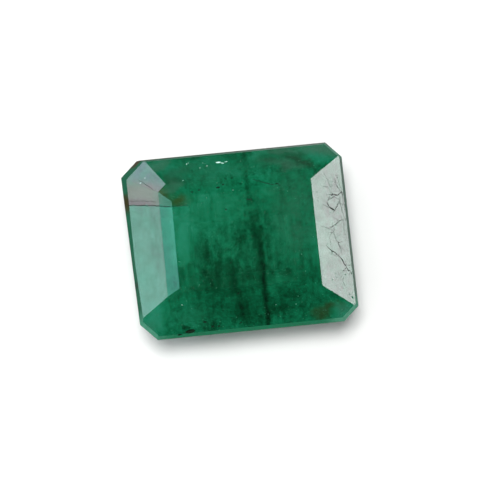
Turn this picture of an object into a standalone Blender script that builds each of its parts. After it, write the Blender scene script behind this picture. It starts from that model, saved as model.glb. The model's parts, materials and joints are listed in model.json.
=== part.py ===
"""A step-cut emerald: one octagonal stone with a flat table, a stepped crown and a stepped pavilion.

Metres, +Z up. The long way of the stone is X. It stands on its flat base facet at z = 0, with
the origin under the middle of its outline.
"""

import math
from collections import namedtuple

import bmesh
import bpy
from mathutils import Matrix, Vector

MM = 0.001

# Distances across the girdle, flat to flat
LENGTH = 12.39 * MM
WIDTH = 10.28 * MM
CORNER_LENGTH = 14.75 * MM

# Heights above the base facet
GIRDLE_LOW = 3.7 * MM
GIRDLE_TOP = 3.9 * MM
BEVEL_TOP = 4.2 * MM
OUTER_STEP_TOP = 5.24 * MM
TABLE = 5.5 * MM

# A point this close to a grinding plane counts as lying on it
SNAP = 0.001 * MM
# Corners of facets closer together than this become one corner
WELD = 0.02 * MM

# The crown bevel next to the girdle has one slope all the way round, from the horizontal
BEVEL_SLOPE = 62.0

# Pavilion steps, from the girdle down: height, slope of the long and short sides, slope of the corners
PavilionStep = namedtuple("PavilionStep", "height main_slope corner_slope")
PAVILION = (
    PavilionStep(1.0 * MM, 58.0, 52.0),
    PavilionStep(1.3 * MM, 47.0, 40.0),
    PavilionStep(1.4 * MM, 39.0, 32.0),
)

# The eight sides. The stone is cut by eye, so each is a little off true:
#   azimuth: direction that the girdle facet faces, in degrees anticlockwise from +X
#   turn: how far the two crown steps are turned from that direction
#   across: the nominal distance across the girdle
#   off: how far the side lies outside (+) or inside (-) its nominal place
#   outer_slope, inner_slope: the two crown steps, in degrees from the horizontal
#   drop: how far the outer step runs down into the bevel
#   corner: whether it is one of the four corner sides
Side = namedtuple("Side", "azimuth turn across off outer_slope inner_slope drop corner")
SIDES = {
    "right": Side(0.1, -0.1, LENGTH, -0.03 * MM, 30.9, 17.2, 0.02 * MM, False),
    "back_right": Side(42.4, 0.0, CORNER_LENGTH, 0.07 * MM, 25.3, 15.0, -0.02 * MM, True),
    "back": Side(89.8, -0.2, WIDTH, 0.10 * MM, 32.2, 17.0, -0.02 * MM, False),
    "back_left": Side(132.4, 0.0, CORNER_LENGTH, 0.16 * MM, 28.2, 15.3, 0.13 * MM, True),
    "left": Side(181.8, -2.2, LENGTH, 0.03 * MM, 31.4, 20.4, 0.0, False),
    "front_left": Side(223.6, 0.0, CORNER_LENGTH, -0.15 * MM, 27.9, 19.2, -0.03 * MM, True),
    "front": Side(269.9, -0.2, WIDTH, -0.10 * MM, 35.0, 23.0, 0.01 * MM, False),
    "front_right": Side(312.0, -0.2, CORNER_LENGTH, -0.08 * MM, 27.2, 15.0, -0.02 * MM, True),
}

STONE_GREEN = (0.012, 0.165, 0.078, 1.0)
REFRACTIVE_INDEX = 1.58


def run(height, slope):
    """How far a facet of this slope leans in over a height."""
    return height / math.tan(math.radians(slope))


def grind(stone, azimuth, slope, distance, height):
    """Grind one facet: off comes all that lies outside a plane.

    The plane faces azimuth, leans by slope from the horizontal (below 0, it faces down), and
    passes through the point at distance from the middle and height above the base.
    """
    outward = Vector((math.cos(math.radians(azimuth)), math.sin(math.radians(azimuth)), 0.0))
    lean = math.radians(slope)
    normal = outward * math.sin(abs(lean)) + Vector((0.0, 0.0, math.copysign(math.cos(lean), slope)))
    cut = bmesh.ops.bisect_plane(
        stone,
        geom=stone.verts[:] + stone.edges[:] + stone.faces[:],
        dist=SNAP,
        plane_co=outward * distance + Vector((0.0, 0.0, height)),
        plane_no=normal,
        clear_outer=True,
    )
    rim = [item for item in cut["geom_cut"] if isinstance(item, bmesh.types.BMEdge)]
    if rim:
        bmesh.ops.edgeloop_fill(stone, edges=rim)


def grind_crown(stone, side):
    """The bevel, the outer step and the inner step above the girdle of one side."""
    distance = side.across / 2 + side.off
    grind(stone, side.azimuth, BEVEL_SLOPE, distance, GIRDLE_TOP)
    distance -= run(BEVEL_TOP - GIRDLE_TOP, BEVEL_SLOPE)
    steps = side.azimuth + side.turn
    outer_low = BEVEL_TOP - side.drop
    grind(stone, steps, side.outer_slope, distance, outer_low)
    distance -= run(OUTER_STEP_TOP - outer_low, side.outer_slope)
    grind(stone, steps, side.inner_slope, distance, OUTER_STEP_TOP)


def grind_pavilion(stone, side):
    """The three steps below the girdle of one side."""
    distance = side.across / 2 + side.off
    height = GIRDLE_LOW
    for step in PAVILION:
        slope = step.corner_slope if side.corner else step.main_slope
        grind(stone, side.azimuth, -slope, distance, height)
        distance -= run(step.height, slope)
        height -= step.height


def centre_on_origin(stone):
    """Put the middle of the outline over the origin."""
    for axis in (0, 1):
        places = [vert.co[axis] for vert in stone.verts]
        shift = Vector((0.0, 0.0, 0.0))
        shift[axis] = -(min(places) + max(places)) / 2
        bmesh.ops.translate(stone, verts=stone.verts, vec=shift)


def emerald_material():
    """Deep green stone with a polished surface."""
    material = bpy.data.materials.new("emerald_green")
    material.use_nodes = True
    shader = material.node_tree.nodes["Principled BSDF"]
    shader.inputs["Base Color"].default_value = STONE_GREEN
    shader.inputs["Roughness"].default_value = 0.08
    shader.inputs["Metallic"].default_value = 0.0
    shader.inputs["IOR"].default_value = REFRACTIVE_INDEX
    return material


def make_emerald():
    """Cut the stone from a block of rough as long, wide and high as the finished stone needs."""
    stone = bmesh.new()
    block = Matrix.LocRotScale(Vector((0, 0, TABLE / 2)), None, Vector((LENGTH * 1.2, WIDTH * 1.2, TABLE)))
    bmesh.ops.create_cube(stone, size=1.0, matrix=block)
    for side in SIDES.values():
        grind(stone, side.azimuth, 90.0, side.across / 2 + side.off, 0.0)
    for side in SIDES.values():
        grind_crown(stone, side)
        grind_pavilion(stone, side)
    bmesh.ops.remove_doubles(stone, verts=stone.verts, dist=WELD)
    centre_on_origin(stone)
    bmesh.ops.recalc_face_normals(stone, faces=stone.faces)
    mesh = bpy.data.meshes.new("emerald")
    stone.to_mesh(mesh)
    stone.free()
    mesh.materials.append(emerald_material())
    return bpy.data.objects.new("emerald", mesh)


def main():
    for old in list(bpy.data.objects):
        bpy.data.objects.remove(old, do_unlink=True)
    collection = bpy.data.collections.new("step_cut_emerald")
    bpy.context.scene.collection.children.link(collection)
    collection.objects.link(make_emerald())


main()
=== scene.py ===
"""Looks of a loose step-cut emerald: the polished stone, its open cracks, pits and chips, and its stains.

Metres, in the stone's own frame: X the long way, Y the short way, +Z up through the table.
Places named in millimetres are seen straight from above, in the same frame.
"""

import json
import math

import bmesh
import bpy
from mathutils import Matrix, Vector

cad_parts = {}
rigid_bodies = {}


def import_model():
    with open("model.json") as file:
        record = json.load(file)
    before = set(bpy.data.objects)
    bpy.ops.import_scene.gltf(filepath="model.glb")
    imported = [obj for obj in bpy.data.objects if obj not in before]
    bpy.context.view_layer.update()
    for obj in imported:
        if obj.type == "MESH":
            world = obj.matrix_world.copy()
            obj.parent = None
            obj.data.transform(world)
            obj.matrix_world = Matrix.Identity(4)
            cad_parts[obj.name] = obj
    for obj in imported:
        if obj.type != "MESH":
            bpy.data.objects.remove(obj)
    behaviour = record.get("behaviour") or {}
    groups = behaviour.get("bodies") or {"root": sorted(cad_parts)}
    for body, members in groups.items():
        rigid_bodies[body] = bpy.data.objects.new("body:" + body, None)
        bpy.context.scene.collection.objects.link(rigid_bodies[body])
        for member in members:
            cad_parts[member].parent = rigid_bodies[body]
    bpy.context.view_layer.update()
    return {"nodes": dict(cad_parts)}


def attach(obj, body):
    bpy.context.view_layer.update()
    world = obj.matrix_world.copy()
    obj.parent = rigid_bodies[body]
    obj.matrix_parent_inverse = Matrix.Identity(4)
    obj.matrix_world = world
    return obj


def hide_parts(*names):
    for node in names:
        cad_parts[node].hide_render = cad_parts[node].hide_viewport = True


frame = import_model()

MM = 0.001
MM_PER_METRE = 1000

# How far the edges between facets and the outline's corners are worn round, and in how many steps
EDGE_WEAR = 0.012 * MM
EDGE_STEPS = 2
OUTLINE_CORNER_WEAR = 0.18 * MM
OUTLINE_CORNER_STEPS = 5
ROUND_PROFILE = 0.5

# Heights that the girdle's corner edges and the rim's faces lie between, and how far up a rim face looks
GIRDLE_BAND = (3.6 * MM, 4.25 * MM)
RIM_BAND = (3.7 * MM, 4.19 * MM)
RIM_UPRIGHT = 0.66

# Under the first angle two faces are one facet, and over the second they meet in a sharp edge
FLAT = math.radians(1.0)
SHARP = math.radians(8.0)
WELD = 0.001 * MM

# Two strokes of the lap that widened the ground rim by the left end:
# a place in mm, the way each faces and its slope, both in degrees
RIM_STROKES = [
    ((-5.955, 1.86, 4.20), 180.0, 54.5),
    ((-5.50, 4.50, 4.17), 132.4, 51.0),
]

# The sharp edges that get nicks are longer than the first and lie below the second
NICKED_EDGE = 0.4 * MM
NICKED_BELOW = 4.3 * MM

# How deep the waves of the polish and the grain of the ground and broken parts go
POLISH_RELIEF = 0.002 * MM
GRIND_RELIEF = 0.004 * MM

# What light does in the stone
EMERALD_IOR = 1.58
SEEN_THROUGH = 0.5
POLISH_ROUGHNESS = 0.03
ABSORBED = (0.03, 0.75, 0.45, 1.0)
ABSORBED_PER_METRE = 500.0

# The values that a noise mostly keeps to, and the narrower range that most of it lies in
WIDE = (0.3, 0.7)
NARROW = (0.35, 0.65)
NOISE_MIDDLE = (0.5, 0.5, 0.5)

# How much of a soft patch, from its middle out, is at full strength
PATCH_CORE = 0.25

# Patterns: how far each is stretched along X, Y and Z, then its scale, detail and roughness
EVEN = (1.0, 1.0, 1.0)
DEPTHS = ((1.0, 0.45, 1.0), 0.55, 2.0, 0.55)
FIBRES = ((4.2, 0.55, 1.2), 1.0, 6.0, 0.68)
CLOUDS = (EVEN, 2.4, 6.0, 0.72)
GRAIN = (EVEN, 11.0, 4.0, 0.7)
WISPS = ((1.3, 2.6, 1.0), 1.0, 5.0, 0.65)
LAP_LINES = ((26.0, 0.7, 8.0), 1.0, 3.0, 0.6)
POLISH_WAVES = (EVEN, 1.3, 2.0, 0.5)
POLISH_GRAIN = (EVEN, 8.0, 2.0, 0.6)
DULLED = (EVEN, 0.9, 5.0, 0.65)
RIM_GRAIN = (EVEN, 7.0, 5.0, 0.65)

# How places are nudged about so that no patch has a clean edge: the scale and detail, and the reach in mm
SOFTLY = (0.9, 5.0, (1.6, 1.6, 1.0))
FINELY = (4.0, 4.0, (0.18, 0.5, 0.2))

# How much light the stone gives back before its patches, and how far each pattern swings it
LIGHT = (0.50, 0.64)
FIBRE_SWING = 0.13
CLOUD_SWING = 0.16
GRAIN_SWING = 0.15

# Specks, in mm: how far apart, how wide and how strong, and which of the grid's cells hold one
DARK_SPECKS = (0.42, 0.11, 0.36)
PALE_SPECKS = (0.42, 0.05, 0.30)
SPECKLED_CELLS = (0.70, 0.95)

# The turn of the lap lines in degrees, how much they and the grain weigh, and the polish's roughness
LAP_TURN = 28
LAP_WEIGHT = 0.16
GRAIN_WEIGHT = 0.8
POLISHED = (0.15, 0.24)

# Greens of the stone by how much light it gives back, from its darkest streaks to its brightest end
GREENS = [
    (0.0, (0.0006, 0.020, 0.008, 1)),
    (0.35, (0.0012, 0.085, 0.031, 1)),
    (0.65, (0.005, 0.225, 0.098, 1)),
    (1.0, (0.024, 0.350, 0.200, 1)),
]
HAZE = (0.036, 0.225, 0.125, 1)
# Below the girdle the stone is painted a lighter green. This painted glow stands in for light passing through
# the stone and bouncing green onto the floor. The values give where it starts in mm, how far it fades, its
# colour and its share.
PAVILION_TOP = 3.7
PAVILION_FADE = 0.3
PAVILION_PAINTED_GLOW = (0.030, 0.560, 0.330, 1)
PAINTED_GLOW_SHARE = 0.6

# Patches in mm: middle, half size, turn in degrees, and how much brighter (or, below nothing, deeper)
ZONES = [
    ((-3.3, 1.2, 5.0), (1.2, 3.2, 9.0), 4, 0.24),
    ((-5.4, 0.0, 5.0), (1.6, 6.0, 9.0), 0, 0.12),
    ((-1.3, 1.6, 5.0), (2.2, 2.2, 9.0), 0, 0.14),
    ((-3.7, -2.3, 5.0), (0.8, 1.6, 9.0), 0, -0.16),
    ((1.4, 4.7, 4.5), (0.55, 0.4, 2.0), 15, 0.30),
    ((5.1, 4.5, 4.5), (1.4, 1.1, 2.0), 0, 0.34),
    ((-4.2, 4.5, 4.5), (1.2, 0.8, 2.0), 0, 0.20),
    # The next two patches, at the front corners, are painted light where these corners face the front lamps
    # and the white floor
    ((-5.5, -4.2, 4.3), (1.4, 1.4, 2.0), 0, 0.28),
    ((5.4, -4.8, 4.3), (1.1, 0.9, 2.0), 0, 0.40),
    ((-1.9, -2.0, 5.0), (1.5, 2.4, 9.0), 0, -0.15),
    ((-1.2, -2.6, 5.0), (2.6, 2.6, 9.0), 0, -0.12),
    ((1.0, -1.6, 5.0), (1.9, 3.2, 9.0), 0, -0.12),
    ((3.0, -2.8, 5.0), (2.2, 2.0, 9.0), 0, -0.06),
    ((-2.6, 3.2, 5.0), (1.5, 1.1, 9.0), 0, -0.05),
    ((3.9, 3.9, 5.0), (1.7, 0.5, 2.0), -20, -0.16),
    ((5.6, 1.0, 4.5), (1.0, 5.0, 3.0), -3, -0.10),
    ((1.5, 3.8, 4.8), (3.5, 1.3, 3.0), 0, 0.06),
    ((-3.4, -4.85, 4.3), (0.55, 0.28, 2.0), 8, -0.35),
    ((-1.9, -4.7, 4.3), (0.9, 0.30, 2.0), 5, -0.12),
    ((0.3, -4.3, 4.5), (2.6, 0.9, 3.0), 0, -0.12),
    # Painted reflection: the low part of the left end's outer facet is painted brighter to stand in for the
    # lamp's reflection there
    ((-5.1, -2.6, 4.5), (1.1, 2.4, 3.0), 0, 0.18),
    ((0.0, 0.4, 5.2), (1.4, 1.6, 3.0), 0, -0.07),
    ((2.0, -3.9, 4.5), (1.4, 0.8, 3.0), 0, -0.10),
    ((-2.4, 4.1, 4.6), (1.7, 1.1, 3.0), 0, 0.17),
    ((-0.1, 3.9, 4.6), (1.9, 1.0, 3.0), 0, 0.15),
]

# Thin pale veils under the table: how much of them is left where they are broken up and where they
# are whole, and for each, in mm, its middle, half size, turn in degrees and strength
VEIL_SHARE = (0.35, 1.0)
VEILS = [
    ((3.5, 1.2, 5.0), (2.2, 4.0, 9.0), 0, 0.44),
    ((-1.5, 3.8, 5.0), (3.0, 1.4, 9.0), 0, 0.27),
    ((2.6, 4.4, 4.6), (2.6, 0.9, 3.0), 0, 0.42),
    ((-3.2, -4.2, 4.6), (2.0, 1.0, 3.0), 0, 0.16),
    # Painted light at the front right corner
    ((5.40, -4.75, 4.3), (0.8, 0.6, 3.0), 35, 1.00),
    ((5.35, 4.45, 4.3), (0.9, 0.7, 3.0), -40, 0.70),
    # Painted light at the front left corner
    ((-5.4, -4.3, 4.3), (0.9, 0.9, 3.0), 0, 0.50),
]

# Dark growth streaks, in mm: where each runs, its half width and how dark it is, against the place along Y
STREAKS = [
    (
        [(-5.1, 1.28), (-3.9, 1.16), (-2.3, 1.10), (-0.6, 0.95), (0.5, 0.81), (2.0, 0.77), (3.8, 0.77),
         (5.1, 0.74)],
        [(-5.1, 0.36), (-3.2, 0.30), (-1.8, 0.42), (-0.4, 0.38), (2.0, 0.26), (5.1, 0.30)],
        [(-5.1, 0.17), (-3.2, 0.15), (-1.6, 0.18), (0.5, 0.15), (2.0, 0.18), (3.2, 0.14), (5.1, 0.08)],
    ),
    (
        [(-0.4, 1.13), (0.7, 1.19), (2.2, 1.12)],
        [(-0.4, 0.22), (2.2, 0.14)],
        [(-0.4, 0.16), (0.7, 0.14), (2.2, 0.0)],
    ),
    (
        [(-5.0, -0.07), (-3.8, -0.28), (-2.3, -0.58), (-1.2, -0.69)],
        [(-5.0, 0.30), (-2.9, 0.42), (-1.2, 0.26)],
        [(-5.0, 0.12), (-3.0, 0.16), (-1.8, 0.14), (-1.0, 0.0)],
    ),
    (
        [(-3.7, -1.42), (-2.9, -1.42), (-1.3, -1.24)],
        [(-3.7, 0.30), (-1.3, 0.34)],
        [(-3.9, 0.0), (-2.8, 0.11), (-1.6, 0.12), (-0.6, 0.0)],
    ),
    (
        [(-2.6, -2.17), (-0.9, -1.94), (0.4, -1.82)],
        [(-2.6, 0.36), (0.4, 0.42)],
        [(-2.8, 0.0), (-1.0, 0.06), (0.6, 0.0)],
    ),
]

# Stains, in mm: middle, half size, turn in degrees, strength and colour
RUST = (0.030, 0.085, 0.024, 1)
RED_RUST = (0.042, 0.062, 0.018, 1)
VEIL = (0.022, 0.095, 0.048, 1)
OLIVE = (0.030, 0.070, 0.014, 1)
BLOOM = (0.060, 0.170, 0.170, 1)
PALE = (0.066, 0.235, 0.145, 1)
STAINS = [
    ((4.35, -4.58, 4.5), (1.15, 0.50, 3.0), 4, 0.55, RUST),
    ((4.45, -4.55, 4.5), (0.65, 0.28, 3.0), 6, 0.26, RED_RUST),
    ((5.35, -4.30, 4.5), (0.45, 0.25, 3.0), -10, 0.35, OLIVE),
    ((3.9, 4.05, 4.8), (1.3, 0.26, 3.0), -22, 0.75, VEIL),
    ((2.3, 4.15, 4.7), (0.8, 0.24, 3.0), -15, 0.50, VEIL),
    ((3.1, 3.62, 4.9), (0.55, 0.18, 3.0), 12, 0.60, VEIL),
    ((3.6, 4.55, 4.5), (1.1, 0.35, 3.0), -10, 0.50, VEIL),
    ((-3.4, 3.6, 4.8), (0.8, 0.9, 3.0), 10, 0.50, VEIL),
    ((-2.6, 4.2, 4.6), (0.9, 0.30, 3.0), 10, 0.30, VEIL),
    ((-3.9, 2.85, 5.2), (0.55, 0.45, 3.0), 40, 0.55, OLIVE),
    ((-5.15, 4.45, 4.4), (0.9, 0.30, 3.0), 45, 0.55, BLOOM),
    ((5.1, 4.7, 4.4), (1.5, 0.60, 3.0), -8, 0.85, PALE),
    ((2.9, 4.85, 4.3), (1.7, 0.28, 3.0), 0, 0.60, PALE),
    ((3.3, 3.75, 4.9), (1.3, 0.40, 3.0), -10, 0.40, PALE),
    ((-4.1, 4.6, 4.4), (0.8, 0.45, 3.0), 20, 0.60, PALE),
    ((-3.3, 3.2, 5.0), (0.6, 0.5, 3.0), 0, 0.40, PALE),
    ((-4.65, 3.85, 4.4), (0.5, 0.18, 3.0), 40, 0.40, BLOOM),
]

# The iron-stained crack by the left end, in mm: the line it draws on the crown and how sharply the stain
# starts there. Each band fades upwards and to the right over two ranges, and has a strength and a colour.
IRON_LINE = [(-6.3, 2.64), (-5.06, 2.37), (-4.22, 2.16), (-3.55, 2.01), (-2.66, 1.98), (-2.0, 2.04)]
IRON_START = (-0.02, 0.03)
IRON_BANDS = [
    ((0.9, 1.7), (-4.8, -3.5), 0.95, (0.165, 0.150, 0.080, 1)),
    ((0.12, 0.55), (-5.2, -3.9), 0.9, (0.105, 0.010, 0.004, 1)),
]

# Further in the stain turns olive, between a range where it comes and one where it goes, then brown
IRON_OLIVE = (0.026, 0.115, 0.034, 1)
IRON_OLIVE_UP = (0.25, 0.95)
IRON_OLIVE_COMES = (-4.6, -3.7)
IRON_OLIVE_GOES = (-3.1, -2.2)
IRON_OLIVE_SHARE = 0.85
IRON_BROWN = (0.042, 0.088, 0.014, 1)
IRON_BROWN_PATCH = ((-3.1, 2.38, 5.5), (0.50, 0.24, 2.0), 20)
IRON_BROWN_SHARE = 0.55

# Colours of the ground rim, with painted light and painted sheen at its front, east end and corners, and in
# mm where one takes over from the next
RIM_WEST = (0.006, 0.095, 0.048, 1)
# The east end's lighter grey is painted sheen of the lamp on the right
RIM_EAST_PAINTED_SHEEN = (0.092, 0.152, 0.120, 1)
RIM_WEST_TO_EAST = (-5.5, 5.8)
# The front of the rim is painted a lighter green: painted light where it faces the front and the white floor
RIM_FRONT_PAINTED_LIGHT = (0.006, 0.165, 0.075, 1)
RIM_FRONT_LIGHT_FADE = (-4.7, -4.2)
RIM_RED = (0.050, 0.030, 0.018, 1)
RIM_RED_BEHIND = (4.6, 4.9)
RIM_RED_BELOW = (3.92, 4.08)
RIM_RED_SHARE = 0.9
# Painted light for the rim's corners
RIM_PAINTED_LIGHT = (0.055, 0.260, 0.165, 1)
RIM_PAINTED_PALE_LIGHT = (0.075, 0.290, 0.185, 1)
RIM_STAIN = (0.030, 0.026, 0.004, 1)
RIM_DEEP = (0.008, 0.040, 0.024, 1)
RIM_PATCHES = [
    ((5.7, 4.6, 4.0), (1.2, 0.9, 3.0), 0.6, RIM_PAINTED_LIGHT),
    ((5.7, -4.7, 4.0), (1.6, 1.4, 3.0), 1.0, RIM_PAINTED_PALE_LIGHT),
    ((-5.6, -4.6, 4.0), (1.5, 1.3, 3.0), 1.0, RIM_PAINTED_LIGHT),
    ((-6.2, 2.75, 4.0), (0.9, 0.75, 3.0), 1.0, RIM_STAIN),
    ((-6.1, -2.0, 4.0), (0.6, 0.32, 3.0), 0.9, RIM_DEEP),
]
RIM_TONES = [(0.3, (0.72, 0.72, 0.72, 1)), (0.7, (1.2, 1.2, 1.2, 1))]
RIM_ROUGHNESS = (0.42, 0.62)
RIM_BUMP = 0.7
RIM_SHINE = 0.08

# Open cracks, in mm: half width, then the places each runs through, seen from above
CRACKS = [
    (0.026, [(5.32, 1.87), (5.56, 1.96), (5.79, 1.93), (5.98, 2.14), (6.12, 2.06)]),
    (0.020, [(5.45, 2.04), (5.52, 1.81), (5.30, 1.67)]),
    (0.044, [(5.22, 1.22), (5.35, 1.14), (5.49, 1.07)]),
    (0.013, [(4.81, 1.40), (5.14, 1.23), (5.22, 1.20)]),
    (0.014, [(5.52, 1.81), (5.82, 1.70), (5.91, 1.24), (5.96, 0.90), (6.02, 0.61)]),
    (0.013, [(5.98, 2.14), (6.06, 1.82), (6.07, 1.36), (6.08, 0.96)]),
    (0.017, [(6.18, 0.60), (5.92, 0.53), (5.62, 0.38), (5.36, 0.15), (5.12, 0.03)]),
    (0.012, [(5.67, 2.91), (5.74, 2.57), (5.89, 2.34), (5.98, 2.14)]),
    (0.014, [(5.36, 0.15), (5.32, -0.25), (5.35, -0.48), (5.48, -0.82), (5.62, -1.17), (5.65, -1.34)]),
    (0.013, [(5.83, 1.66), (5.66, 1.32), (5.49, 1.07)]),
    (0.010, [(5.18, 3.10), (5.30, 2.70), (5.45, 2.30), (5.45, 2.04)]),
    (0.025, [(4.78, -0.94), (4.93, -1.11), (5.09, -1.25), (5.35, -1.48), (5.61, -1.77), (5.74, -2.08),
             (5.89, -2.31), (6.09, -2.62)]),
    (0.018, [(5.09, -1.25), (5.12, -1.51)]),
    (0.009, [(5.85, 3.06), (5.93, 2.55), (6.00, 2.30), (6.06, 1.82)]),
    (0.009, [(5.12, 0.86), (5.42, 0.92), (5.70, 1.30), (5.82, 1.70)]),
    (0.008, [(4.60, 0.14), (5.00, 0.06), (5.36, 0.15)]),
    (0.009, [(5.45, 2.04), (5.24, 2.36), (5.02, 2.42)]),
    (0.009, [(5.28, -0.02), (5.02, -0.55), (5.09, -1.25)]),
    (0.008, [(5.92, 0.53), (5.90, 0.02), (6.02, -0.50)]),
    (0.008, [(5.60, -2.62), (5.52, -3.05), (5.66, -3.40)]),
    (0.011, [(5.48, -0.82), (5.60, -1.02), (5.80, -1.30)]),
    (0.020, [(1.10, 3.12), (1.43, 2.99), (1.80, 2.83), (2.13, 2.70), (2.41, 2.73), (2.62, 2.62)]),
    (0.030, [(0.60, 1.99), (0.78, 1.96), (0.93, 1.98)]),
    (0.013, [(-5.31, 3.92), (-4.99, 3.67), (-4.67, 3.36), (-4.52, 3.15)]),
    (0.022, [(-6.22, 2.62), (-5.85, 2.54), (-5.06, 2.37), (-4.22, 2.16), (-3.55, 2.00), (-2.66, 1.98)]),
    (0.010, [(-5.95, 2.80), (-5.10, 2.64), (-4.40, 2.45)]),
]

# A crack's section: its sides, how far its width wavers, how fast it thins to its ends and what is left there
CRACK_SIDES = 5
CRACK_WAVER = (0.45, 1.35)
CRACK_TAPER = 0.4
CRACK_END_SHARE = 0.25
FULL_AT_HALF_WAY = 4.0

# Dark crystals that reach the surface, pale chips and nicks, in mm: place from above, half size, turn
CRYSTALS = [
    ((-3.24, -4.90), (0.29, 0.125), 6), ((-3.84, -5.02), (0.15, 0.060), 10),
    ((-2.37, -4.50), (0.11, 0.055), -15), ((-1.96, -4.77), (0.09, 0.055), 20),
    ((-1.62, -4.78), (0.08, 0.045), 0), ((-0.38, -4.72), (0.06, 0.040), 0),
    ((-0.89, 2.85), (0.115, 0.055), 5), ((-0.59, 3.00), (0.090, 0.040), 20),
    ((-0.57, 1.54), (0.060, 0.040), 0), ((-2.36, 2.74), (0.060, 0.045), 0),
    ((-1.96, 2.81), (0.060, 0.040), 0), ((-1.87, 2.04), (0.028, 0.026), 0),
    ((-2.24, 4.06), (0.040, 0.032), 0), ((-1.85, -1.15), (0.040, 0.030), 30),
    ((-2.25, -2.35), (0.035, 0.030), 0), ((-0.62, -1.48), (0.050, 0.035), 80),
    ((-0.36, -3.22), (0.055, 0.040), 75), ((2.41, 2.73), (0.060, 0.040), 0),
    ((5.30, 3.70), (0.030, 0.025), 0), ((4.62, 1.57), (0.028, 0.024), 0),
    ((5.14, 3.12), (0.024, 0.022), 0), ((5.91, -0.65), (0.028, 0.022), 0),
    ((5.30, -3.51), (0.024, 0.020), 0), ((5.96, -1.23), (0.024, 0.020), 0),
]
# The chips are finished near white: partly their own broken surface and partly painted glints
CHIPS = [
    ((-0.72, 4.45), (0.150, 0.058), -4), ((-0.50, 4.38), (0.120, 0.030), -22),
    ((-0.30, 4.44), (0.110, 0.022), 10), ((-2.50, 4.55), (0.055, 0.026), 35),
    ((-2.40, 4.60), (0.026, 0.020), 60), ((-1.78, 4.20), (0.030, 0.018), 15),
    ((-1.58, 4.51), (0.024, 0.016), 60), ((-1.37, 4.29), (0.026, 0.016), 70),
    ((-2.80, 3.49), (0.026, 0.018), 0), ((-0.07, 2.61), (0.018, 0.014), 0),
    ((-3.55, -3.52), (0.026, 0.020), 0), ((-5.19, 3.71), (0.052, 0.026), 0),
    ((-4.91, 3.97), (0.024, 0.014), 10), ((1.65, -4.01), (0.018, 0.014), 40),
    ((2.77, -4.07), (0.016, 0.012), 0),
]
NICKS = [
    ((4.60, 2.08), (0.050, 0.030), 85), ((4.63, 1.80), (0.036, 0.026), 85),
    ((4.71, 1.18), (0.040, 0.028), 85), ((4.86, -0.90), (0.030, 0.022), 85),
    ((5.98, -3.92), (0.120, 0.060), -40), ((5.83, -3.75), (0.060, 0.040), -40),
    ((-5.02, 3.70), (0.030, 0.020), -45),
]

# How far the thrown nicks and pits are stretched, at least and at most
NICK_STRETCH = ((0.8, 0.8, 0.6), (2.0, 2.0, 1.2))
PIT_STRETCH = ((0.7, 0.7, 0.7), (1.8, 1.4, 1.2))
ANY_TURN = ((0.0, 0.0, 0.0), (math.tau, math.tau, math.tau))

# The detail and roughness of the noises that jolt a crack's course, vary its width and dent a lump
COURSE_NOISE = (4.0, 0.75)
WIDTH_NOISE = (3.0, 0.7)
LUMP_NOISE = (2.0, 0.6)

# Broken surfaces: darkest and palest tone, roughness and the scale of their grain
BREAKS = {
    "stained_crack": ((0.003, 0.010, 0.006, 1), (0.014, 0.034, 0.022, 1), 0.55, 30.0),
    "dark_crystal": ((0.002, 0.006, 0.003, 1), (0.010, 0.028, 0.015, 1), 0.45, 24.0),
    # Near white: partly the chip's own broken surface, partly painted glint
    "fresh_chip": ((0.24, 0.58, 0.48, 1), (0.88, 0.96, 0.94, 1), 0.35, 20.0),
    "worn_nick": ((0.016, 0.100, 0.056, 1), (0.060, 0.200, 0.130, 1), 0.45, 24.0),
}
BREAK_NOISE = (5.0, 0.65)
BREAK_WAVER = 0.08
BREAK_BUMP = 0.5

# The height that rays are sent down from to find the stone's surface, and how far they reach in metres
LOOK_DOWN_FROM = 8 * MM
LONG_RAY = 1.0

# Lamps: degrees round the stone, degrees up and metres away, then size in metres, power, colour, and
# whether each shows in the polish
LAMPS = {
    "right_window": ((11.1, 25.1, 0.5), (0.13, 0.11), 0.242, (1.0, 0.965, 1.0), True),
    "left_window": ((168.4, 25.9, 0.5), (0.12, 0.10), 0.108, (0.70, 0.92, 1.0), True),
    "left_high_window": ((164.6, 47.6, 0.5), (0.07, 0.07), 0.039, (0.34, 0.95, 0.92), True),
    "back_left_window": ((124.9, 24.2, 0.5), (0.10, 0.10), 0.092, (0.76, 0.78, 1.0), True),
    "key": ((150.0, 87.2, 0.6), (0.17, 0.17), 3.4, (1.0, 0.995, 0.985), False),
    "fill": ((178.0, 74.0, 0.6), (0.8, 0.8), 2.9, (1.0, 1.0, 1.0), False),
}
FLOOR_HALF_WIDTH = 1.5
FLOOR_WHITE = (0.77, 0.77, 0.77, 1.0)
FLOOR_ROUGHNESS = 0.6
ROOM_DARK = (0.015, 0.015, 0.015, 1)
ROOM_WHITE = (1, 1, 1, 1)

# Camera of the photograph: nearly overhead, the stone turned a little in the picture
AIM = Vector((0.553, -0.603, 3.921)) * MM
AZIMUTH, ELEVATION = -5.9, 80.0
CAMERA_DISTANCE = 160.0 * MM
LENS = 205.0
SENSOR_WIDTH = 36.0
NEAREST_SEEN = 10 * MM


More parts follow.
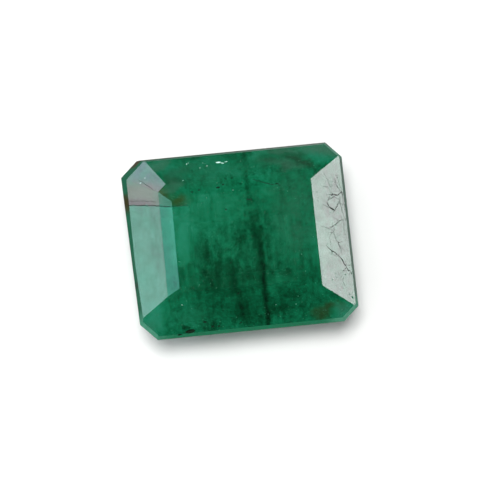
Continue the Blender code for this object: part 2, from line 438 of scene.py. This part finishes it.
class Wiring:
    """Adds nodes to a tree and joins them up, one call for each node."""

    def __init__(self, tree):
        self.tree = tree

    def join(self, socket, value):
        if isinstance(value, bpy.types.NodeSocket):
            self.tree.links.new(value, socket)
        elif value is not None:
            socket.default_value = value

    def add(self, kind, inputs=None, **settings):
        node = self.tree.nodes.new(kind)
        for name, value in settings.items():
            setattr(node, name, value)
        for name, value in (inputs or {}).items():
            self.join(node.inputs[name], value)
        return node

    def math(self, operation, *values, clamp=False):
        node = self.add("ShaderNodeMath", operation=operation, use_clamp=clamp)
        for socket, value in zip(node.inputs, values):
            self.join(socket, value)
        return node.outputs[0]

    def vector(self, operation, *values):
        node = self.add("ShaderNodeVectorMath", operation=operation)
        for socket, value in zip(node.inputs, values):
            self.join(socket, value)
        return node.outputs["Value" if operation == "LENGTH" else "Vector"]

    def scaled(self, value, factor):
        return self.add("ShaderNodeVectorMath", {0: value, "Scale": factor}, operation="SCALE").outputs[0]

    def parts(self, value):
        return self.add("ShaderNodeSeparateXYZ", {"Vector": value}).outputs

    def noise(self, place, scale, detail, roughness=0.55, output=0):
        inputs = {"Vector": place, "Scale": scale, "Detail": detail, "Roughness": roughness}
        return self.add("ShaderNodeTexNoise", inputs).outputs[output]

    def pattern(self, place, stretch, *settings):
        return self.noise(self.vector("MULTIPLY", place, stretch), *settings)

    def spread(self, value, low, high, to_low, to_high, ease="SMOOTHSTEP"):
        """Takes a value from one range into another, and holds it at both ends."""
        node = self.add("ShaderNodeMapRange", interpolation_type=ease, clamp=True)
        for socket, part in zip(node.inputs, (value, low, high, to_low, to_high)):
            self.join(socket, part)
        return node.outputs[0]

    def product(self, first, *others):
        for other in others:
            first = self.math("MULTIPLY", first, other)
        return first

    def patch(self, place, middle, size, turn=0.0):
        """One inside a soft egg-shaped patch, falling to nothing at its edge. size is half its extent."""
        node = self.add("ShaderNodeMapping", {"Vector": place}, vector_type="TEXTURE")
        node.inputs["Location"].default_value = middle
        node.inputs["Rotation"].default_value = (0, 0, math.radians(turn))
        node.inputs["Scale"].default_value = size
        return self.spread(self.vector("LENGTH", node.outputs[0]), PATCH_CORE, 1.0, 1.0, 0.0)

    def line(self, value, points):
        """A smooth line through (value, result) points."""
        start, end = points[0][0], points[-1][0]
        results = [result for at, result in points]
        low, high = min(results), max(results)
        share = self.spread(value, start, end, 0.0, 1.0, "LINEAR")
        node = self.add("ShaderNodeFloatCurve", {"Value": share})
        drawn = node.mapping.curves[0].points
        for index, (at, result) in enumerate(points):
            place = ((at - start) / (end - start), (result - low) / (high - low))
            point = drawn[index] if index < 2 else drawn.new(*place)
            point.location = place
        node.mapping.update()
        return self.spread(node.outputs[0], 0.0, 1.0, low, high, "LINEAR")

    def ramp(self, value, stops):
        node = self.add("ShaderNodeValToRGB", {0: value})
        marks = node.color_ramp.elements
        while len(marks) < len(stops):
            marks.new(0.5)
        for mark, (at, colour) in zip(marks, stops):
            mark.position = at
            mark.color = colour
        return node.outputs[0]

    def colour(self, amount, first, second, how="MIX"):
        node = self.add("ShaderNodeMix", data_type="RGBA", blend_type=how)
        self.join(node.inputs[0], amount)
        self.join(node.inputs[6], first)
        self.join(node.inputs[7], second)
        return node.outputs[2]

    def bump(self, height, strength, depth):
        inputs = {"Height": height, "Strength": strength, "Distance": depth}
        return self.add("ShaderNodeBump", inputs).outputs[0]


def add_object(name, data):
    made = bpy.data.objects.new(name, data)
    bpy.context.scene.collection.objects.link(made)
    return made


class Shaper(Wiring):
    """A Geometry Nodes tree with named inputs, run once over a carrier to give one plain mesh."""

    def __init__(self, name, sizes):
        super().__init__(bpy.data.node_groups.new(name, "GeometryNodeTree"))
        face = self.tree.interface
        face.new_socket("Places", in_out="INPUT", socket_type="NodeSocketGeometry")
        self.sizes = []
        for label, value in sizes.items():
            kind = "NodeSocketObject" if isinstance(value, bpy.types.Object) else "NodeSocketFloat"
            self.sizes.append((face.new_socket(label, in_out="INPUT", socket_type=kind).identifier, value))
        face.new_socket("Shapes", in_out="OUTPUT", socket_type="NodeSocketGeometry")
        self.given = self.tree.nodes.new("NodeGroupInput").outputs

    def body(self):
        inputs = {"Object": self.given["Stone"]}
        node = self.add("GeometryNodeObjectInfo", inputs, transform_space="ORIGINAL")
        return node.outputs["Geometry"]

    def position(self):
        return self.add("GeometryNodeInputPosition").outputs[0]

    def attribute(self, name, kind="FLOAT"):
        return self.add("GeometryNodeInputNamedAttribute", {"Name": name}, data_type=kind).outputs[0]

    def chance(self, low, high, seed=None):
        """A random number for each place, or a random vector where the limits are vectors."""
        flat = not isinstance(low, tuple)
        node = self.add("FunctionNodeRandomValue", data_type="FLOAT" if flat else "FLOAT_VECTOR")
        self.join(node.inputs[2 if flat else 0], low)
        self.join(node.inputs[3 if flat else 1], high)
        self.join(node.inputs["Seed"], seed)
        return node.outputs[1 if flat else 0]

    def drop(self, geometry):
        """Lays the points on the stone, and takes away those with no stone below them."""
        place = self.parts(self.position())
        above = {"X": place["X"], "Y": place["Y"], "Z": self.given["Look Down From"]}
        cast = self.add("GeometryNodeRaycast", {"Target Geometry": self.body()})
        self.join(cast.inputs["Source Position"], self.add("ShaderNodeCombineXYZ", above).outputs[0])
        cast.inputs["Ray Direction"].default_value = (0.0, 0.0, -1.0)
        cast.inputs["Ray Length"].default_value = LONG_RAY
        missed = self.add("FunctionNodeBooleanMath", {0: cast.outputs["Is Hit"]}, operation="NOT").outputs[0]
        inputs = {"Geometry": self.without(geometry, missed), "Position": cast.outputs["Hit Position"]}
        return self.add("GeometryNodeSetPosition", inputs).outputs[0]

    def without(self, geometry, chosen):
        inputs = {"Geometry": geometry, "Selection": chosen}
        return self.add("GeometryNodeDeleteGeometry", inputs, domain="POINT").outputs[0]

    def put(self, shape, points, scale, turn=None):
        """One copy of a shape at every point."""
        inputs = {"Points": points, "Instance": shape, "Scale": scale, "Rotation": turn}
        return self.add("GeometryNodeInstanceOnPoints", inputs).outputs[0]

    def lump(self, fineness):
        inputs = {"Radius": 1.0, "Subdivisions": fineness}
        return self.add("GeometryNodeMeshIcoSphere", inputs).outputs[0]

    def heading(self, turn):
        """A turn about the upright."""
        return self.rotation(self.add("ShaderNodeCombineXYZ", {"Z": turn}).outputs[0])

    def rotation(self, turns):
        return self.add("FunctionNodeEulerToRotation", {0: turns}).outputs[0]

    def realized(self, geometry):
        return self.add("GeometryNodeRealizeInstances", {"Geometry": geometry}).outputs[0]

    def mesh(self, geometry, material, carrier):
        """Ends the tree, runs it on the carrier and gives the result as a plain mesh."""
        inputs = {"Geometry": self.realized(geometry), "Material": material}
        done = self.add("GeometryNodeSetMaterial", inputs)
        self.join(self.tree.nodes.new("NodeGroupOutput").inputs[0], done.outputs[0])
        modifier = carrier.modifiers.new("shapes", "NODES")
        modifier.node_group = self.tree
        for identifier, value in self.sizes:
            modifier[identifier] = value
        graph = bpy.context.evaluated_depsgraph_get()
        result = bpy.data.meshes.new_from_object(carrier.evaluated_get(graph))
        carrier.modifiers.remove(modifier)
        bpy.data.objects.remove(carrier)
        return result


def principled(name):
    """A new material, its wiring and its shader."""
    material = bpy.data.materials.new(name)
    material.use_nodes = True
    return material, Wiring(material.node_tree), material.node_tree.nodes["Principled BSDF"]


def millimetres(wires):
    to_mm = (MM_PER_METRE, MM_PER_METRE, MM_PER_METRE)
    return wires.vector("MULTIPLY", wires.add("ShaderNodeTexCoord").outputs["Object"], to_mm)


def nudged(wires, place, scale, detail, reach):
    off = wires.vector("SUBTRACT", wires.noise(place, scale, detail, output=1), NOISE_MIDDLE)
    return wires.vector("ADD", place, wires.vector("MULTIPLY", off, reach))


def growth_streak(wires, place, route, width, strength):
    """A dark sheet of growth tubes seen on edge, running along Y."""
    split = wires.parts(place)
    across, along = split["X"], split["Y"]
    off = wires.math("ABSOLUTE", wires.math("SUBTRACT", across, wires.line(along, route)))
    band = wires.spread(wires.math("DIVIDE", off, wires.line(along, width)), 0.0, 1.0, 1.0, 0.0)
    return wires.product(band, wires.line(along, strength))


def sparse_specks(wires, place, spacing, size, amount):
    """Small round specks, one in some of the cells of an uneven grid."""
    cells = wires.add("ShaderNodeTexVoronoi", {"Vector": place, "Scale": 1.0 / spacing})
    chosen = wires.add("ShaderNodeSeparateColor", {"Color": cells.outputs["Color"]}).outputs["Red"]
    dot = wires.spread(cells.outputs["Distance"], 0.0, size / spacing, amount, 0.0)
    return wires.product(dot, wires.spread(chosen, *SPECKLED_CELLS, 0.0, 1.0))


def light_given_back(wires, place, soft, fine):
    """How much light each place gives back: bright by the left end, deep in front, streaked along Y. The
    front corners and the low part of the left end's outer facet are painted light.
    """
    light = wires.spread(wires.pattern(place, *DEPTHS), *WIDE, *LIGHT)
    for middle, size, turn, amount in ZONES:
        light = wires.math("ADD", light, wires.product(wires.patch(soft, middle, size, turn), amount))
    swings = ((fine, FIBRES, FIBRE_SWING), (place, CLOUDS, CLOUD_SWING), (place, GRAIN, GRAIN_SWING))
    for at, pattern, swing in swings:
        value = wires.pattern(at, *pattern)
        light = wires.math("ADD", light, wires.spread(value, *WIDE, -swing, swing, "LINEAR"))
    for route, width, strength in STREAKS:
        light = wires.math("SUBTRACT", light, growth_streak(wires, fine, route, width, strength))
    light = wires.math("SUBTRACT", light, sparse_specks(wires, fine, *DARK_SPECKS))
    return wires.math("ADD", light, sparse_specks(wires, place, *PALE_SPECKS))


def pale_veils(wires, place, soft, green):
    """Thin milky sheets of tiny bubbles lying under the surface, broken up and brushed one way, with painted
    light at the two front corners.
    """
    broken = wires.spread(wires.pattern(place, *WISPS), *NARROW, *VEIL_SHARE)
    for middle, size, turn, amount in VEILS:
        patch = wires.product(wires.patch(soft, middle, size, turn), amount, broken)
        green = wires.colour(patch, green, HAZE)
    return green


def iron_stain(wires, fine, green):
    """The stained crack: sand and pink above it, that turn olive and brown inwards."""
    split = wires.parts(fine)
    across, along = split["X"], split["Y"]
    above = wires.math("SUBTRACT", along, wires.line(across, IRON_LINE))
    started = wires.spread(above, *IRON_START, 0.0, 1.0)
    for upwards, rightwards, amount, tint in IRON_BANDS:
        band = wires.product(started, wires.spread(above, *upwards, 1.0, 0.0),
                             wires.spread(across, *rightwards, amount, 0.0))
        green = wires.colour(band, green, tint)
    inward = wires.product(wires.spread(across, *IRON_OLIVE_COMES, 0.0, 1.0),
                           wires.spread(across, *IRON_OLIVE_GOES, 1.0, 0.0))
    olive = wires.product(started, wires.spread(above, *IRON_OLIVE_UP, IRON_OLIVE_SHARE, 0.0), inward)
    green = wires.colour(olive, green, IRON_OLIVE)
    brown = wires.product(wires.patch(fine, *IRON_BROWN_PATCH), IRON_BROWN_SHARE)
    return wires.colour(brown, green, IRON_BROWN)


def stone_colour(wires, place):
    soft = nudged(wires, place, *SOFTLY)
    fine = nudged(wires, place, *FINELY)
    green = wires.ramp(light_given_back(wires, place, soft, fine), GREENS)
    green = pale_veils(wires, place, soft, green)
    height = wires.parts(place)["Z"]
    # The lower part is painted a lighter green: painted glow
    low = wires.spread(height, PAVILION_TOP - PAVILION_FADE, PAVILION_TOP, PAINTED_GLOW_SHARE, 0.0)
    green = wires.colour(low, green, PAVILION_PAINTED_GLOW)
    for middle, size, turn, amount, tint in STAINS:
        green = wires.colour(wires.product(wires.patch(soft, middle, size, turn), amount), green, tint)
    return iron_stain(wires, fine, green)


def polish_lines(wires, place, shader):
    """Faint lap lines and wipe marks: hair-thin waves in the polish, and patches that are a little duller."""
    turned = wires.add("ShaderNodeMapping", {"Vector": place}, vector_type="POINT")
    turned.inputs["Rotation"].default_value = (0, 0, math.radians(LAP_TURN))
    lines = wires.product(wires.pattern(turned.outputs[0], *LAP_LINES), LAP_WEIGHT)
    grain = wires.product(wires.pattern(place, *POLISH_GRAIN), GRAIN_WEIGHT)
    relief = wires.math("ADD", wires.math("ADD", lines, grain), wires.pattern(place, *POLISH_WAVES))
    bump = wires.bump(relief, 1.0, POLISH_RELIEF)
    wires.join(shader.inputs["Normal"], bump)
    wires.join(shader.inputs["Coat Normal"], bump)
    dull = wires.pattern(place, *DULLED)
    wires.join(shader.inputs["Roughness"], wires.spread(dull, *NARROW, *POLISHED, "LINEAR"))


def stone_material():
    """Polished stone: clear green with a milky haze all through it, under a hard mirror polish."""
    material, wires, shader = principled("polished_emerald")
    place = millimetres(wires)
    wires.join(shader.inputs["Base Color"], stone_colour(wires, place))
    polish_lines(wires, place, shader)
    shader.inputs["IOR"].default_value = EMERALD_IOR
    shader.inputs["Transmission Weight"].default_value = SEEN_THROUGH
    shader.inputs["Coat Weight"].default_value = 1.0
    shader.inputs["Coat Roughness"].default_value = POLISH_ROUGHNESS
    depth = wires.add("ShaderNodeVolumeAbsorption")
    depth.inputs["Color"].default_value = ABSORBED
    depth.inputs["Density"].default_value = ABSORBED_PER_METRE
    wires.join(material.node_tree.nodes["Material Output"].inputs["Volume"], depth.outputs[0])
    return material


def rim_material():
    """The girdle and the narrow bevel above it are left as they came off the lap: ground, not polished. Its
    front, east end and corners are painted lighter, as painted light and painted sheen.
    """
    material, wires, shader = principled("ground_rim")
    place = millimetres(wires)
    fine = nudged(wires, place, *FINELY)
    split = wires.parts(place)
    # From west to east the rim turns a lighter grey: painted sheen at the east end
    rim = wires.colour(wires.spread(split["X"], *RIM_WEST_TO_EAST, 0.0, 1.0), RIM_WEST, RIM_EAST_PAINTED_SHEEN)
    # The front is painted a lighter green as painted light. Of the patches below, those at the corners are
    # painted light, and the others are stains.
    rim = wires.colour(wires.spread(split["Y"], *RIM_FRONT_LIGHT_FADE, 1.0, 0.0), rim, RIM_FRONT_PAINTED_LIGHT)
    for middle, size, amount, tint in RIM_PATCHES:
        rim = wires.colour(wires.product(wires.patch(fine, middle, size), amount), rim, tint)
    back = wires.product(wires.spread(split["Y"], *RIM_RED_BEHIND, 0.0, 1.0),
                         wires.spread(split["Z"], *RIM_RED_BELOW, RIM_RED_SHARE, 0.0))
    rim = wires.colour(back, rim, RIM_RED)
    grain = wires.pattern(fine, *RIM_GRAIN)
    rim = wires.colour(1.0, rim, wires.ramp(grain, RIM_TONES), "MULTIPLY")
    wires.join(shader.inputs["Base Color"], rim)
    wires.join(shader.inputs["Roughness"], wires.spread(grain, *NARROW, *RIM_ROUGHNESS, "LINEAR"))
    wires.join(shader.inputs["Normal"], wires.bump(grain, RIM_BUMP, GRIND_RELIEF))
    shader.inputs["Specular IOR Level"].default_value = RIM_SHINE
    return material


def break_material(name):
    """A broken or grown surface inside a crack, a crystal's pit or a chip: two mixed tones, finely uneven."""
    dark, pale, roughness, scale = BREAKS[name]
    material, wires, shader = principled(name)
    fine = nudged(wires, millimetres(wires), *FINELY)
    uneven = wires.noise(fine, scale, *BREAK_NOISE)
    tones = list(zip(NARROW, (dark, pale)))
    dull = wires.spread(uneven, *WIDE, roughness - BREAK_WAVER, roughness + BREAK_WAVER)
    wires.join(shader.inputs["Base Color"], wires.ramp(uneven, tones))
    wires.join(shader.inputs["Roughness"], dull)
    wires.join(shader.inputs["Normal"], wires.bump(uneven, BREAK_BUMP, GRIND_RELIEF))
    return material


def ground_facets():
    """The solid of the cut, with the triangles of each flat facet joined into one face."""
    stone = bmesh.new()
    stone.from_mesh(frame["nodes"]["emerald"].data)
    bmesh.ops.remove_doubles(stone, verts=stone.verts, dist=WELD)
    bmesh.ops.dissolve_limit(stone, angle_limit=FLAT, verts=stone.verts, edges=stone.edges)
    return stone


def widen_rim(stone):
    """Cuts the crown back along the strokes that made the rim wider at the left end and behind it."""
    for place, round_, slope in RIM_STROKES:
        away, tilt = math.radians(round_), math.radians(slope)
        facing = Vector((math.sin(tilt) * math.cos(away), math.sin(tilt) * math.sin(away), math.cos(tilt)))
        bmesh.ops.bisect_plane(
            stone, geom=stone.verts[:] + stone.edges[:] + stone.faces[:], dist=WELD,
            plane_co=Vector(place) * MM, plane_no=facing, clear_outer=True,
        )
        bmesh.ops.holes_fill(stone, edges=[edge for edge in stone.edges if edge.is_boundary], sides=0)


def round_off(stone, edges, wear, steps):
    bmesh.ops.bevel(
        stone, geom=edges, affect="EDGES", offset=wear, segments=steps, profile=ROUND_PROFILE,
        clamp_overlap=True,
    )


def on_outline_corner(edge):
    """Whether an edge runs down the outline at one of the eight corners of the girdle."""
    ends = [vert.co for vert in edge.verts]
    low, high = GIRDLE_BAND
    run = ends[1] - ends[0]
    return all(low < end.z < high for end in ends) and abs(run.z) > run.to_2d().length


def is_sharp(edge):
    return edge.calc_face_angle(0.0) > SHARP


def is_rim(face):
    """Whether a face belongs to the girdle or to the narrow bevel above it."""
    low, high = RIM_BAND
    return low < face.calc_center_median().z < high and abs(face.normal.z) < RIM_UPRIGHT


def cut_stone():
    """The worn cut stone, and the runs of its sharp edges before they were worn."""
    stone = ground_facets()
    round_off(stone, [edge for edge in stone.edges if on_outline_corner(edge)],
              OUTLINE_CORNER_WEAR, OUTLINE_CORNER_STEPS)
    widen_rim(stone)
    sharp = [
        [vert.co.copy() for vert in edge.verts] for edge in stone.edges
        if is_sharp(edge) and edge.calc_length() > NICKED_EDGE
        and all(vert.co.z < NICKED_BELOW for vert in edge.verts)
    ]
    round_off(stone, [edge for edge in stone.edges if is_sharp(edge)], EDGE_WEAR, EDGE_STEPS)
    bmesh.ops.recalc_face_normals(stone, faces=stone.faces)
    stone.normal_update()
    for face in stone.faces:
        face.material_index = 1 if is_rim(face) else 0
    mesh = bpy.data.meshes.new("cut_stone")
    stone.to_mesh(mesh)
    stone.free()
    mesh.materials.append(stone_material())
    mesh.materials.append(rim_material())
    return add_object("cut_stone", mesh), sharp


def carrier(name, runs, widths=None):
    """Loose edges, one chain for each run of places, that a tree takes its places from."""
    places, edges, values = [], [], []
    for index, run in enumerate(runs):
        first = len(places)
        places += [tuple(place) for place in run]
        edges += [(first + step, first + step + 1) for step in range(len(run) - 1)]
        values += [widths[index] if widths else 1.0] * len(run)
    mesh = bpy.data.meshes.new(name)
    mesh.from_pydata(places, edges, [])
    mesh.attributes.new("half_width", "FLOAT", "POINT").data.foreach_set("value", values)
    return add_object(name, mesh)


def along_curve(tree, curve, spacing):
    """Points at even spacing along a curve."""
    inputs = {"Curve": curve, "Length": tree.given[spacing]}
    return tree.add("GeometryNodeCurveToPoints", inputs, mode="LENGTH").outputs[0]


def hair_forks(tree, curve, place):
    """Hair-thin side cracks thrown off the main ones at the right end, from a fixed seed."""
    spots = along_curve(tree, curve, "Fork Spacing")
    seed = tree.given["Seed"]
    unforked = tree.math("LESS_THAN", tree.chance(0.0, 1.0, seed), tree.given["Share Unforked"])
    too_far_left = tree.math("LESS_THAN", tree.parts(place)["X"], tree.given["Forked Beyond"])
    chosen = tree.without(spots, tree.math("MAXIMUM", unforked, too_far_left))
    ends = {"Start": (0.0, 0.0, 0.0), "End": (1.0, 0.0, 0.0)}
    twig = tree.add("GeometryNodeCurvePrimitiveLine", ends).outputs[0]
    shortest, longest = tree.given["Shortest Fork"], tree.given["Longest Fork"]
    length = tree.chance(shortest, longest, tree.math("ADD", seed, 1.0))
    turn = tree.chance(0.0, math.tau, tree.math("ADD", seed, 2.0))
    twigs = tree.realized(tree.put(twig, chosen, length, tree.heading(turn)))
    inputs = {"Geometry": twigs, "Name": "half_width"}
    thinner = tree.add("GeometryNodeStoreNamedAttribute", inputs, data_type="FLOAT", domain="POINT")
    width = tree.product(tree.attribute("half_width"), tree.given["Fork Width"])
    tree.join(thinner.inputs["Value"], width)
    return thinner.outputs[0]


def open_cracks(stone, material):
    """Cracks that reach the polish: uneven V-shaped runs that thin out at both ends, laid over the facets."""
    runs = [[(x * MM, y * MM, 0.0) for x, y in places] for width, places in CRACKS]
    lines = carrier("crack_lines", runs, [width * MM for width, places in CRACKS])
    tree = Shaper("open_cracks", {
        "Stone": stone, "Step": 0.03 * MM, "Wander": 0.26 * MM, "Look Down From": LOOK_DOWN_FROM,
        "Seed": 4.0, "Fork Spacing": 0.16 * MM, "Forked Beyond": 4.8 * MM, "Share Unforked": 0.45,
        "Shortest Fork": 0.12 * MM, "Longest Fork": 0.50 * MM, "Fork Width": 0.50,
        "Wander Scale": 5200.0, "Waver Scale": 9000.0,
    })
    curve = tree.add("GeometryNodeMeshToCurve", {"Mesh": tree.given["Places"]}).outputs[0]
    place = tree.position()
    both = tree.add("GeometryNodeJoinGeometry")
    tree.join(both.inputs[0], curve)
    tree.join(both.inputs[0], hair_forks(tree, curve, place))
    inputs = {"Curve": both.outputs[0], "Length": tree.given["Step"]}
    curve = tree.add("GeometryNodeResampleCurve", inputs, mode="LENGTH").outputs[0]
    jolt = tree.noise(place, tree.given["Wander Scale"], *COURSE_NOISE, output=1)
    jolt = tree.scaled(tree.vector("SUBTRACT", jolt, NOISE_MIDDLE), tree.given["Wander"])
    moved = tree.add("GeometryNodeSetPosition", {"Geometry": curve, "Offset": jolt}).outputs[0]
    laid = tree.drop(moved)

    along = tree.add("GeometryNodeSplineParameter").outputs["Factor"]
    between = tree.product(along, tree.math("SUBTRACT", 1.0, along))
    between = tree.math("MULTIPLY", between, FULL_AT_HALF_WAY, clamp=True)
    thinned = tree.math("ADD", tree.math("POWER", between, CRACK_TAPER), CRACK_END_SHARE)
    waver = tree.noise(place, tree.given["Waver Scale"], *WIDTH_NOISE)
    uneven = tree.spread(waver, *WIDE, *CRACK_WAVER)
    ring = {"Resolution": CRACK_SIDES, "Radius": 1.0}
    section = tree.add("GeometryNodeCurvePrimitiveCircle", ring).outputs[0]
    scale = tree.product(thinned, uneven, tree.attribute("half_width"))
    inputs = {"Curve": laid, "Profile Curve": section, "Scale": scale, "Fill Caps": True}
    return tree.mesh(tree.add("GeometryNodeCurveToMesh", inputs).outputs[0], material, lines)


def surface_pits(name, stone, material, places, seed):
    """Small broken hollows in the polish, each a rough lump of eighty faces, at given places."""
    mesh = bpy.data.meshes.new(name)
    mesh.from_pydata([(x * MM, y * MM, 0.0) for (x, y), size, turn in places], [], [])
    sizes = mesh.attributes.new("half_size", "FLOAT_VECTOR", "POINT")
    sizes.data.foreach_set("vector", [v * MM for p, (a, b), turn in places for v in (a, b, b)])
    turns = mesh.attributes.new("turn", "FLOAT", "POINT")
    turns.data.foreach_set("value", [math.radians(turn) for p, size, turn in places])
    tree = Shaper(name, {
        "Stone": stone, "Look Down From": LOOK_DOWN_FROM, "Roughness": 0.28, "Reach": 0.12 * MM,
        "Scale": 14000.0,
    })
    points = tree.add("GeometryNodeMeshToPoints", {"Mesh": tree.given["Places"]}).outputs[0]
    heading = tree.heading(tree.attribute("turn"))
    size = tree.attribute("half_size", "FLOAT_VECTOR")
    solid = tree.realized(tree.put(tree.lump(2), tree.drop(points), size, heading))
    outward = tree.add("GeometryNodeInputNormal").outputs[0]
    place = tree.vector("ADD", tree.position(), (seed * MM, 0.0, 0.0))
    wobble = tree.noise(place, tree.given["Scale"], *LUMP_NOISE)
    wobble = tree.math("SUBTRACT", wobble, NOISE_MIDDLE[0])
    push = tree.scaled(outward, tree.product(wobble, tree.given["Roughness"], tree.given["Reach"]))
    rough = tree.add("GeometryNodeSetPosition", {"Geometry": solid, "Offset": push}).outputs[0]
    return tree.mesh(rough, material, add_object(name, mesh))


def edge_nicks(sharp, material):
    """Tiny chips along the sharp edges of the cut, thrown at random from a fixed seed."""
    lines = carrier("sharp_edges", sharp)
    tree = Shaper("edge_nicks", {
        "Spacing": 0.16 * MM, "Share Left Whole": 0.80, "Smallest": 0.010 * MM, "Largest": 0.030 * MM,
        "Seed": 7.0,
    })
    curve = tree.add("GeometryNodeMeshToCurve", {"Mesh": tree.given["Places"]}).outputs[0]
    spaced = along_curve(tree, curve, "Spacing")
    seed = tree.given["Seed"]
    whole = tree.math("LESS_THAN", tree.chance(0.0, 1.0, seed), tree.given["Share Left Whole"])
    size = tree.chance(tree.given["Smallest"], tree.given["Largest"], tree.math("ADD", seed, 1.0))
    scale = tree.scaled(tree.chance(*NICK_STRETCH), size)
    turn = tree.rotation(tree.chance(*ANY_TURN))
    return tree.mesh(tree.put(tree.lump(1), tree.without(spaced, whole), scale, turn), material, lines)


def scattered_pits(stone, material):
    """Hundreds of pinprick pits in the polish, thickest on the bright facet at the right end."""
    tree = Shaper("scattered_pits", {
        "Stone": stone, "Pits per Square Metre": 1.2e6, "Extra at the Right End": 9.0e6,
        "Right End Starts": 4.7 * MM, "Crown Starts": 4.15 * MM, "Smallest": 0.008 * MM,
        "Largest": 0.028 * MM, "Seed": 11.0,
    })
    place = tree.parts(tree.position())
    on_crown = tree.math("GREATER_THAN", place["Z"], tree.given["Crown Starts"])
    at_end = tree.math("GREATER_THAN", place["X"], tree.given["Right End Starts"])
    extra = tree.product(at_end, tree.given["Extra at the Right End"])
    density = tree.product(on_crown, tree.math("ADD", extra, tree.given["Pits per Square Metre"]))
    inputs = {"Mesh": tree.body(), "Density": density, "Seed": tree.given["Seed"]}
    thrown = tree.add("GeometryNodeDistributePointsOnFaces", inputs).outputs["Points"]
    size = tree.chance(tree.given["Smallest"], tree.given["Largest"])
    scale = tree.scaled(tree.chance(*PIT_STRETCH), size)
    ground = carrier("pit_ground", [[(0, 0, 0), (MM, 0, 0)]])
    return tree.mesh(tree.put(tree.lump(1), thrown, scale), material, ground)


def break_surface(stone, cutters):
    """Takes the cutters' shapes out of the stone and leaves their own finish on the hollow walls."""
    tools = bpy.data.collections.new("tools")
    bpy.context.scene.collection.children.link(tools)
    for cutter in cutters:
        tools.objects.link(bpy.data.objects.new(cutter.name, cutter))
    opening = stone.modifiers.new("opening", "BOOLEAN")
    opening.operation = "DIFFERENCE"
    opening.solver = "EXACT"
    opening.use_self = True
    opening.material_mode = "TRANSFER"
    opening.operand_type = "COLLECTION"
    opening.collection = tools
    graph = bpy.context.evaluated_depsgraph_get()
    opened = bpy.data.meshes.new_from_object(stone.evaluated_get(graph))
    stone.modifiers.remove(opening)
    for piece in list(tools.objects):
        bpy.data.objects.remove(piece)
    bpy.data.collections.remove(tools)
    stone.data = opened
    sweep_crumbs(stone.data)


def sweep_crumbs(mesh):
    """Takes away the loose crumbs that crossing cracks have cut free, and keeps the stone."""
    broken = bmesh.new()
    broken.from_mesh(mesh)
    waiting = set(broken.verts)
    parts = []
    while waiting:
        reached = [waiting.pop()]
        part = set(reached)
        while reached:
            at = reached.pop()
            near = {edge.other_vert(at) for edge in at.link_edges} & waiting
            waiting -= near
            part |= near
            reached += near
        parts.append(part)
    crumbs = [vert for part in sorted(parts, key=len)[:-1] for vert in part]
    bmesh.ops.delete(broken, geom=crumbs, context="VERTS")
    broken.to_mesh(mesh)
    broken.free()


def facing_away(round_, up):
    """The way out from the stone, from degrees round it and up."""
    round_, up = math.radians(round_), math.radians(up)
    return Vector((math.cos(up) * math.cos(round_), math.cos(up) * math.sin(round_), math.sin(up)))


def place_facing(made, away, place):
    made.location = place
    made.rotation_mode = "QUATERNION"
    made.rotation_quaternion = away.to_track_quat("Z", "Y")


def lamp(name, place, size, power, colour, shows_in_polish):
    """A soft lamp above the floor, facing the stone. place is degrees round, degrees up and metres away."""
    data = bpy.data.lights.new(name, "AREA")
    data.shape = "RECTANGLE"
    data.size, data.size_y = size
    data.energy = power
    data.color = colour
    made = add_object(name, data)
    away = facing_away(*place[:2])
    place_facing(made, away, away * place[2])
    made.visible_glossy = shows_in_polish
    made.visible_transmission = shows_in_polish


def studio():
    """A white floor and backdrop, and the lamps."""
    mesh = bpy.data.meshes.new("floor")
    floor = bmesh.new()
    bmesh.ops.create_grid(floor, x_segments=1, y_segments=1, size=FLOOR_HALF_WIDTH)
    floor.to_mesh(mesh)
    floor.free()
    material, wires, shader = principled("floor_white")
    shader.inputs["Base Color"].default_value = FLOOR_WHITE
    shader.inputs["Roughness"].default_value = FLOOR_ROUGHNESS
    mesh.materials.append(material)
    add_object("floor", mesh)

    world = bpy.data.worlds.new("studio")
    bpy.context.scene.world = world
    world.use_nodes = True
    wires = Wiring(world.node_tree)
    paths = wires.add("ShaderNodeLightPath")
    seen = wires.colour(paths.outputs["Is Camera Ray"], ROOM_DARK, ROOM_WHITE)
    wires.join(world.node_tree.nodes["Background"].inputs["Color"], seen)
    for name, settings in LAMPS.items():
        lamp(name, *settings)


def camera():
    """The photograph's camera. Its azimuth starts from the front, a quarter turn before +X."""
    data = bpy.data.cameras.new("camera")
    data.lens = LENS
    data.sensor_width = SENSOR_WIDTH
    data.clip_start = NEAREST_SEEN
    made = add_object("camera", data)
    round_, up = math.radians(AZIMUTH), math.radians(ELEVATION)
    back = Vector((math.sin(round_) * math.cos(up), -math.cos(round_) * math.cos(up), math.sin(up)))
    place_facing(made, back, AIM + back * CAMERA_DISTANCE)
    bpy.context.scene.camera = made


def emerald():
    """The dressed stone: cut and worn, then opened by its cracks, crystals, chips, nicks and pits."""
    stone, sharp = cut_stone()
    dark, mica, glinting_chip, worn = [break_material(name) for name in BREAKS]
    cutters = [
        open_cracks(stone, dark),
        surface_pits("dark_crystals", stone, mica, CRYSTALS, 1),
        surface_pits("pale_chips", stone, glinting_chip, CHIPS, 2),
        surface_pits("facet_nicks", stone, worn, NICKS, 3),
        edge_nicks(sharp, worn),
        scattered_pits(stone, worn),
    ]
    break_surface(stone, cutters)
    return stone


camera()
studio()
stone = emerald()
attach(stone, "root")
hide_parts("emerald")
bpy.context.scene.view_settings.view_transform = "Standard"
